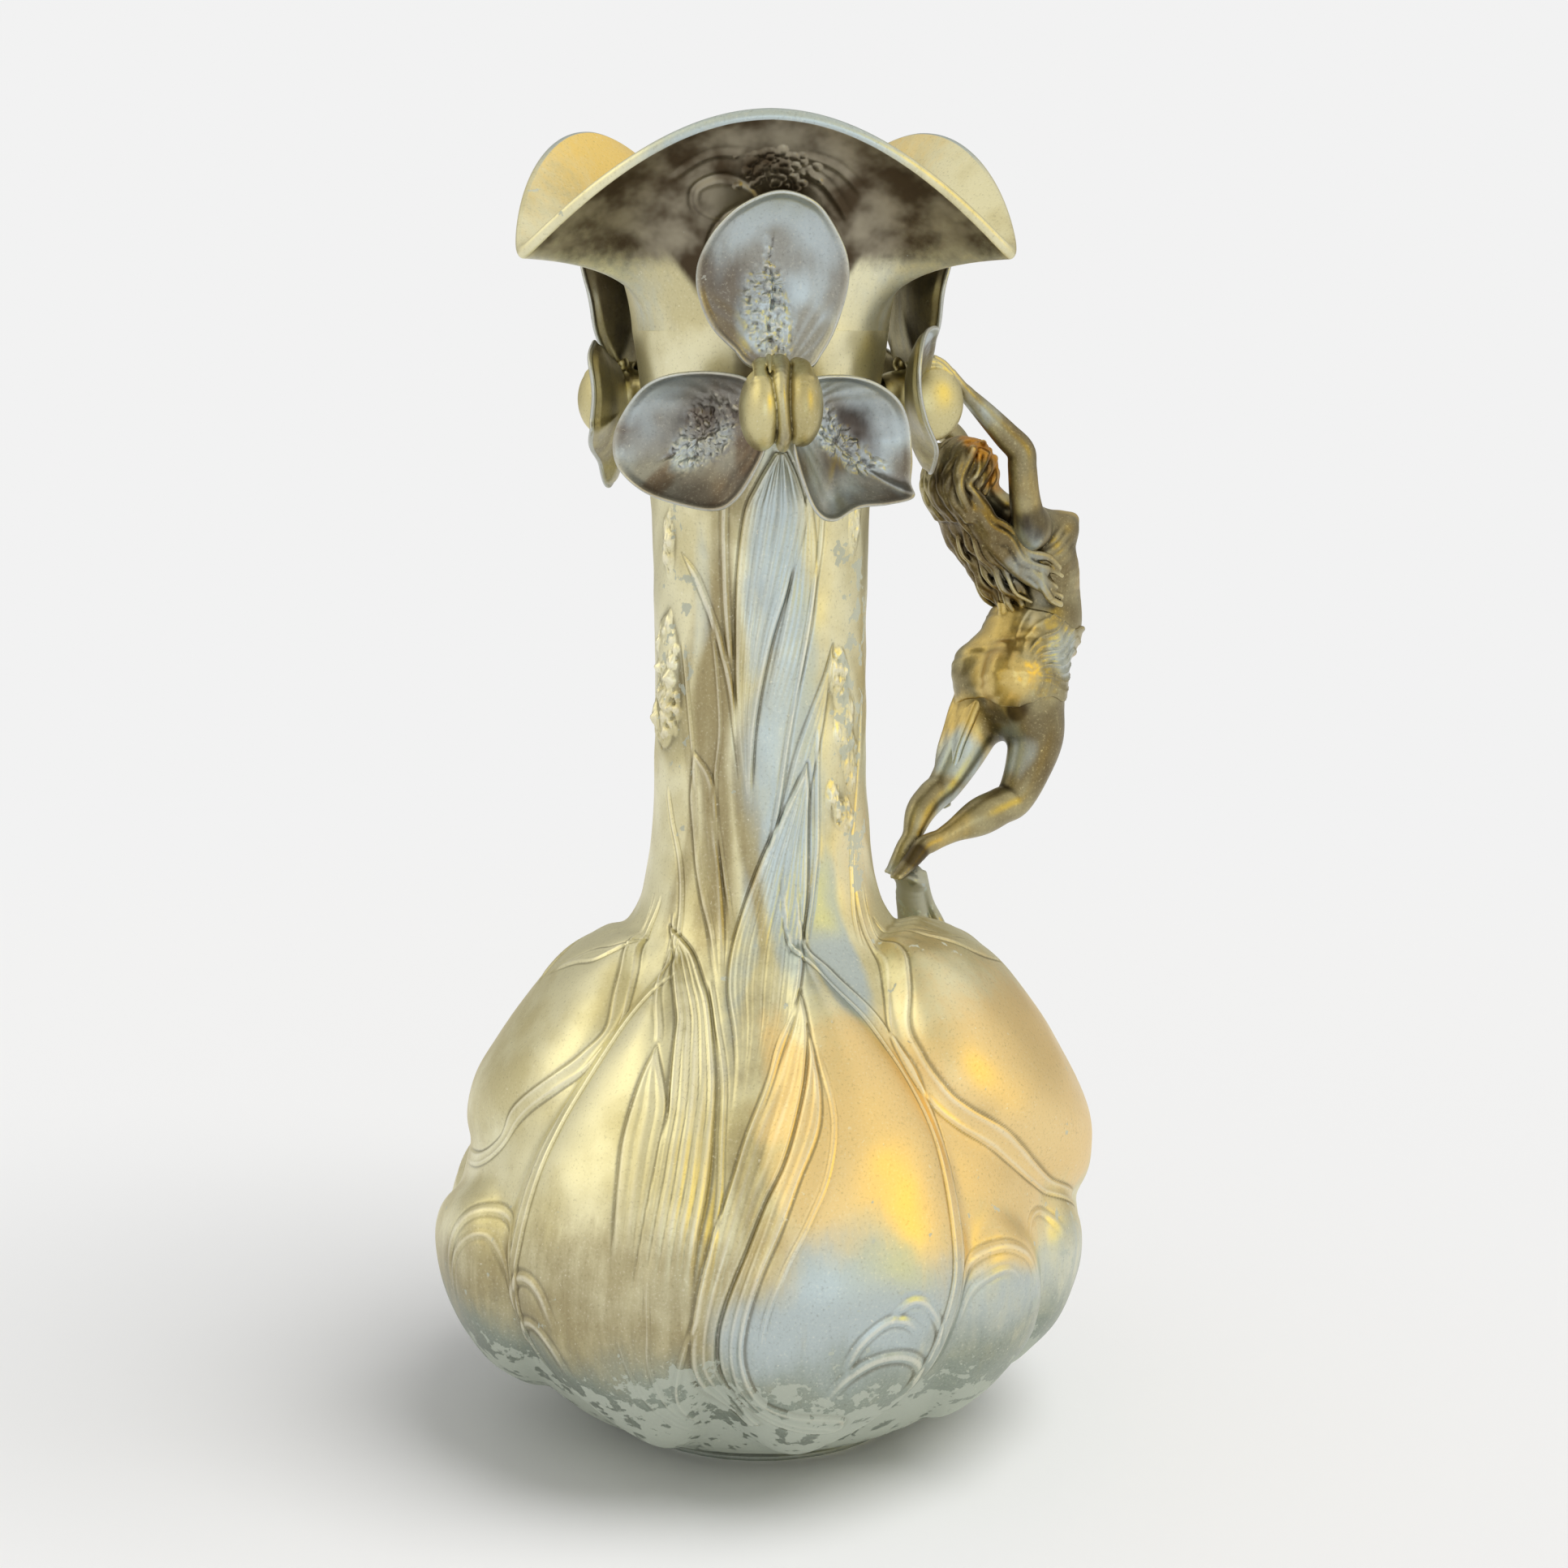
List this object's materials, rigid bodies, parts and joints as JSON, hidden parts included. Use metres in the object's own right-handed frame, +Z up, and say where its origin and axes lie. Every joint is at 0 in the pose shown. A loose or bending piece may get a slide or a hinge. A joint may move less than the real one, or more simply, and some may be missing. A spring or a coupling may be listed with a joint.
{
  "type": "pewter flower vase",
  "caption": "Tall cast pewter flower vase with a lobed bulb, long neck, ruffled three-lobed mouth, iris blooms and a standing nymph as its handle.",
  "frame": {"origin": "centre of the underside of the base disc, on the vase's upright axis", "axes": "+Z up, +X from the axis through the nymph handle"},
  "size_m": [0.2295, 0.2026, 0.4008],
  "materials": {
    "vase_pewter": null,
    "bloom_pewter": null,
    "nymph_pewter": null,
    "base_pewter": null
  },
  "bodies": {
    "root": {"base_disc": "base_pewter", "bulb": "vase_pewter", "neck": "vase_pewter", "mouth": "vase_pewter", "handle_bloom_hood_petal": "bloom_pewter", "handle_bloom_left_petal": "bloom_pewter", "handle_bloom_right_petal": "bloom_pewter", "handle_bloom_bud": "bloom_pewter", "left_bloom_hood_petal": "bloom_pewter", "left_bloom_left_petal": "bloom_pewter", "left_bloom_right_petal": "bloom_pewter", "left_bloom_bud": "bloom_pewter", "front_bloom_hood_petal": "bloom_pewter", "front_bloom_left_petal": "bloom_pewter", "front_bloom_right_petal": "bloom_pewter", "front_bloom_bud": "bloom_pewter", "nymph_body": "nymph_pewter", "nymph_right_arm": "nymph_pewter", "nymph_left_arm": "nymph_pewter", "nymph_hair": "nymph_pewter", "nymph_drape": "nymph_pewter", "nymph_stem": "nymph_pewter"}
  },
  "joints": []
}
